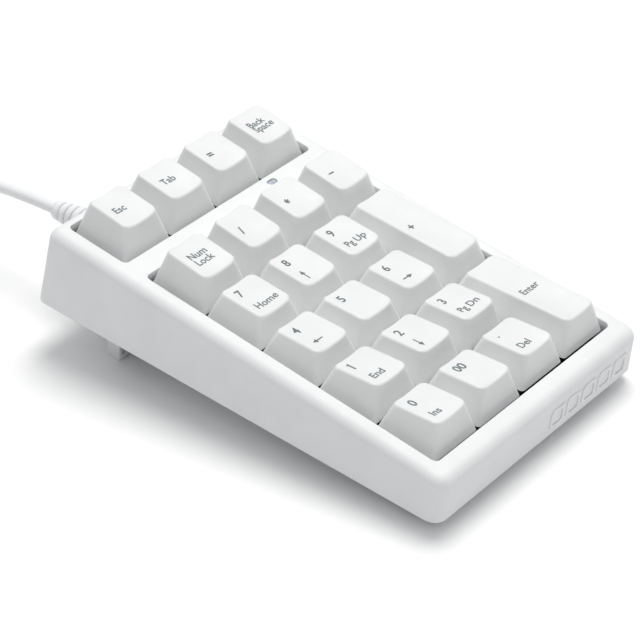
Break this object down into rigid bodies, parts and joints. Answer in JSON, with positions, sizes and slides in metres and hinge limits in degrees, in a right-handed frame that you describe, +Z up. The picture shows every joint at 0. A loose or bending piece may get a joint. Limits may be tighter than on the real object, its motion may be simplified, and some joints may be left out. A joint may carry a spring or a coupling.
{
  "type": "numeric keypad",
  "caption": "White USB numeric keypad with sprung dished keys on a steel plate in a wedge case, fold-out rear feet and a coiled lead.",
  "frame": {"origin": "on the table under the middle of the standing keypad, with its rear feet out", "axes": "+Z up from the table, +Y from the front edge to the back, where the lead leaves, +X to the right of a person who uses it"},
  "size_m": [0.096, 0.2899, 0.0463],
  "materials": {
    "key_plastic": "fine matte texture, white",
    "case_plastic": "fine spark-eroded matte texture, white",
    "foot_plastic": "matte, white",
    "switch_plastic": "moulded nylon, black",
    "plate_steel": "powder-coated steel sheet",
    "wire_steel": "drawn spring wire",
    "board": "solder-masked glass-fibre board",
    "rubber_foot": "soft grey rubber",
    "cable_jacket": "soft white PVC",
    "plug_plastic": "moulded white grip",
    "plug_steel": "nickel-plated sheet",
    "lamp_lens": "clear bluish light guide"
  },
  "bodies": {
    "case": {"top_cover": "case_plastic", "bottom_case": "case_plastic", "switch_plate": "plate_steel", "circuit_board": "board", "num_lock_lamp": "lamp_lens", "switch_esc": "switch_plastic", "switch_tab": "switch_plastic", "switch_equals": "switch_plastic", "switch_backspace": "switch_plastic", "switch_num_lock": "switch_plastic", "switch_divide": "switch_plastic", "switch_multiply": "switch_plastic", "switch_minus": "switch_plastic", "switch_7": "switch_plastic", "switch_8": "switch_plastic", "switch_9": "switch_plastic", "switch_4": "switch_plastic", "switch_5": "switch_plastic", "switch_6": "switch_plastic", "switch_plus": "switch_plastic", "switch_1": "switch_plastic", "switch_2": "switch_plastic", "switch_3": "switch_plastic", "switch_0": "switch_plastic", "switch_00": "switch_plastic", "switch_point": "switch_plastic", "switch_enter": "switch_plastic", "front_left_rubber_foot": "rubber_foot", "front_right_rubber_foot": "rubber_foot", "cable_strain_relief": "cable_jacket", "usb_cable": "cable_jacket", "cable_coil": "cable_jacket", "usb_plug_grip": "plug_plastic", "usb_plug_shell": "plug_steel"},
    "key_esc": {"key_esc": "key_plastic"},
    "key_tab": {"key_tab": "key_plastic"},
    "key_equals": {"key_equals": "key_plastic"},
    "key_backspace": {"key_backspace": "key_plastic"},
    "key_num_lock": {"key_num_lock": "key_plastic"},
    "key_divide": {"key_divide": "key_plastic"},
    "key_multiply": {"key_multiply": "key_plastic"},
    "key_minus": {"key_minus": "key_plastic"},
    "key_7": {"key_7": "key_plastic"},
    "key_8": {"key_8": "key_plastic"},
    "key_9": {"key_9": "key_plastic"},
    "key_4": {"key_4": "key_plastic"},
    "key_5": {"key_5": "key_plastic"},
    "key_6": {"key_6": "key_plastic"},
    "key_plus": {"key_plus": "key_plastic"},
    "key_1": {"key_1": "key_plastic"},
    "key_2": {"key_2": "key_plastic"},
    "key_3": {"key_3": "key_plastic"},
    "key_0": {"key_0": "key_plastic"},
    "key_00": {"key_00": "key_plastic"},
    "key_point": {"key_point": "key_plastic"},
    "key_enter": {"key_enter": "key_plastic"},
    "left_tilt_foot": {"left_tilt_foot": "foot_plastic"},
    "right_tilt_foot": {"right_tilt_foot": "foot_plastic"},
    "plus_wire": {"plus_stabiliser_wire": "wire_steel"},
    "enter_wire": {"enter_stabiliser_wire": "wire_steel"}
  },
  "joints": [
    {"name": "press_esc", "type": "slide", "parent": "case", "child": "key_esc", "axis": [0, 0.1656, -0.9862], "range_m": [0, 0.004], "stiffness_N_per_m": 80, "springref_m": -0.0038},
    {"name": "press_tab", "type": "slide", "parent": "case", "child": "key_tab", "axis": [0, 0.1656, -0.9862], "range_m": [0, 0.004], "stiffness_N_per_m": 80, "springref_m": -0.0038},
    {"name": "press_equals", "type": "slide", "parent": "case", "child": "key_equals", "axis": [0, 0.1656, -0.9862], "range_m": [0, 0.004], "stiffness_N_per_m": 80, "springref_m": -0.0038},
    {"name": "press_backspace", "type": "slide", "parent": "case", "child": "key_backspace", "axis": [0, 0.1656, -0.9862], "range_m": [0, 0.004], "stiffness_N_per_m": 80, "springref_m": -0.0038},
    {"name": "press_num_lock", "type": "slide", "parent": "case", "child": "key_num_lock", "axis": [0, 0.1656, -0.9862], "range_m": [0, 0.004], "stiffness_N_per_m": 80, "springref_m": -0.0038},
    {"name": "press_divide", "type": "slide", "parent": "case", "child": "key_divide", "axis": [0, 0.1656, -0.9862], "range_m": [0, 0.004], "stiffness_N_per_m": 80, "springref_m": -0.0038},
    {"name": "press_multiply", "type": "slide", "parent": "case", "child": "key_multiply", "axis": [0, 0.1656, -0.9862], "range_m": [0, 0.004], "stiffness_N_per_m": 80, "springref_m": -0.0038},
    {"name": "press_minus", "type": "slide", "parent": "case", "child": "key_minus", "axis": [0, 0.1656, -0.9862], "range_m": [0, 0.004], "stiffness_N_per_m": 80, "springref_m": -0.0038},
    {"name": "press_7", "type": "slide", "parent": "case", "child": "key_7", "axis": [0, 0.1656, -0.9862], "range_m": [0, 0.004], "stiffness_N_per_m": 80, "springref_m": -0.0038},
    {"name": "press_8", "type": "slide", "parent": "case", "child": "key_8", "axis": [0, 0.1656, -0.9862], "range_m": [0, 0.004], "stiffness_N_per_m": 80, "springref_m": -0.0038},
    {"name": "press_9", "type": "slide", "parent": "case", "child": "key_9", "axis": [0, 0.1656, -0.9862], "range_m": [0, 0.004], "stiffness_N_per_m": 80, "springref_m": -0.0038},
    {"name": "press_4", "type": "slide", "parent": "case", "child": "key_4", "axis": [0, 0.1656, -0.9862], "range_m": [0, 0.004], "stiffness_N_per_m": 80, "springref_m": -0.0038},
    {"name": "press_5", "type": "slide", "parent": "case", "child": "key_5", "axis": [0, 0.1656, -0.9862], "range_m": [0, 0.004], "stiffness_N_per_m": 80, "springref_m": -0.0038},
    {"name": "press_6", "type": "slide", "parent": "case", "child": "key_6", "axis": [0, 0.1656, -0.9862], "range_m": [0, 0.004], "stiffness_N_per_m": 80, "springref_m": -0.0038},
    {"name": "press_plus", "type": "slide", "parent": "case", "child": "key_plus", "axis": [0, 0.1656, -0.9862], "range_m": [0, 0.004], "stiffness_N_per_m": 80, "springref_m": -0.0038},
    {"name": "press_1", "type": "slide", "parent": "case", "child": "key_1", "axis": [0, 0.1656, -0.9862], "range_m": [0, 0.004], "stiffness_N_per_m": 80, "springref_m": -0.0038},
    {"name": "press_2", "type": "slide", "parent": "case", "child": "key_2", "axis": [0, 0.1656, -0.9862], "range_m": [0, 0.004], "stiffness_N_per_m": 80, "springref_m": -0.0038},
    {"name": "press_3", "type": "slide", "parent": "case", "child": "key_3", "axis": [0, 0.1656, -0.9862], "range_m": [0, 0.004], "stiffness_N_per_m": 80, "springref_m": -0.0038},
    {"name": "press_0", "type": "slide", "parent": "case", "child": "key_0", "axis": [0, 0.1656, -0.9862], "range_m": [0, 0.004], "stiffness_N_per_m": 80, "springref_m": -0.0038},
    {"name": "press_00", "type": "slide", "parent": "case", "child": "key_00", "axis": [0, 0.1656, -0.9862], "range_m": [0, 0.004], "stiffness_N_per_m": 80, "springref_m": -0.0038},
    {"name": "press_point", "type": "slide", "parent": "case", "child": "key_point", "axis": [0, 0.1656, -0.9862], "range_m": [0, 0.004], "stiffness_N_per_m": 80, "springref_m": -0.0038},
    {"name": "press_enter", "type": "slide", "parent": "case", "child": "key_enter", "axis": [0, 0.1656, -0.9862], "range_m": [0, 0.004], "stiffness_N_per_m": 80, "springref_m": -0.0038},
    {"name": "fold_left_foot", "type": "hinge", "parent": "case", "child": "left_tilt_foot", "pos_m": [-0.02855, 0.04849, 0.01367], "axis": [-1, 0, 0], "range_deg": [0, 85]},
    {"name": "fold_right_foot", "type": "hinge", "parent": "case", "child": "right_tilt_foot", "pos_m": [0.02855, 0.04849, 0.01367], "axis": [-1, 0, 0], "range_deg": [0, 85]},
    {"name": "turn_plus_wire", "type": "hinge", "parent": "case", "child": "plus_wire", "pos_m": [0.01937, -0.00426, 0.02045], "axis": [0, 0.9862, 0.1656], "range_deg": [0, 24.8]},
    {"name": "turn_enter_wire", "type": "hinge", "parent": "case", "child": "enter_wire", "pos_m": [0.01937, -0.04184, 0.01414], "axis": [0, 0.9862, 0.1656], "range_deg": [0, 24.8]}
  ],
  "couplings": [
    {"joint": "turn_plus_wire", "follows": "press_plus", "rad_per_m": 105.6},
    {"joint": "turn_enter_wire", "follows": "press_enter", "rad_per_m": 105.6}
  ]
}
